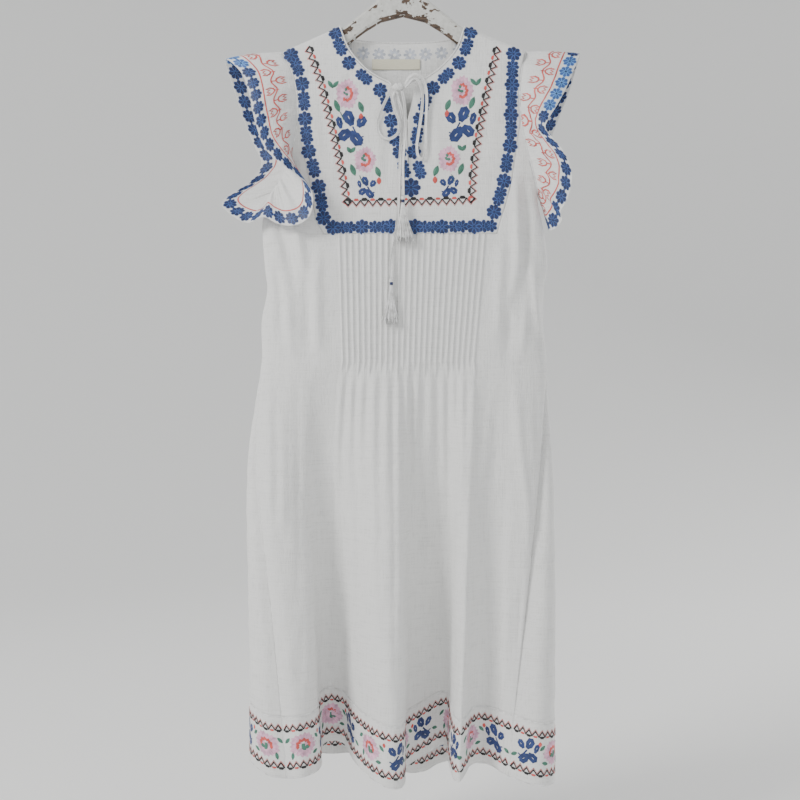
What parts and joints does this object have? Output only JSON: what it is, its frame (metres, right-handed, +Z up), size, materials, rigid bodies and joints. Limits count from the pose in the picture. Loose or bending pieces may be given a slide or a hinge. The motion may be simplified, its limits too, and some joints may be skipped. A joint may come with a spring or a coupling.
{
  "type": "flutter sleeve dress on a hanger",
  "caption": "Midi dress of thin white cotton with an embroidered yoke and hem band, pintucks, flutter sleeves and a tasselled neck tie, hung flat on a painted wooden hanger.",
  "frame": {"origin": "on the inner face of the hook's crook, at its top, where the hook rests on a rail", "axes": "+Z up, the front of the dress faces -Y, +X to the right of someone who faces the front"},
  "size_m": [0.5203, 0.1538, 1.2429],
  "materials": {
    "white_cotton": "matt voile",
    "white_binding": "matt bias tape",
    "cream_label": "smooth woven tape",
    "painted_wood": "worn white paint",
    "hook_steel": "satin wire"
  },
  "bodies": {
    "root": {"front_yoke": "white_cotton", "front_panel": "white_cotton", "back_panel": "white_cotton", "hem_band_front": "white_cotton", "hem_band_back": "white_cotton", "sleeve_left": "white_cotton", "sleeve_right": "white_cotton", "neck_binding": "white_binding", "bow_knot": "white_binding", "bow_loop_left": "white_binding", "bow_loop_right": "white_binding", "tie_tail_short": "white_binding", "tie_tail_long": "white_binding", "tassel_short": "white_binding", "tassel_long": "white_binding", "neck_label": "cream_label", "hanger_body": "painted_wood", "hanger_hook": "hook_steel"}
  },
  "joints": []
}
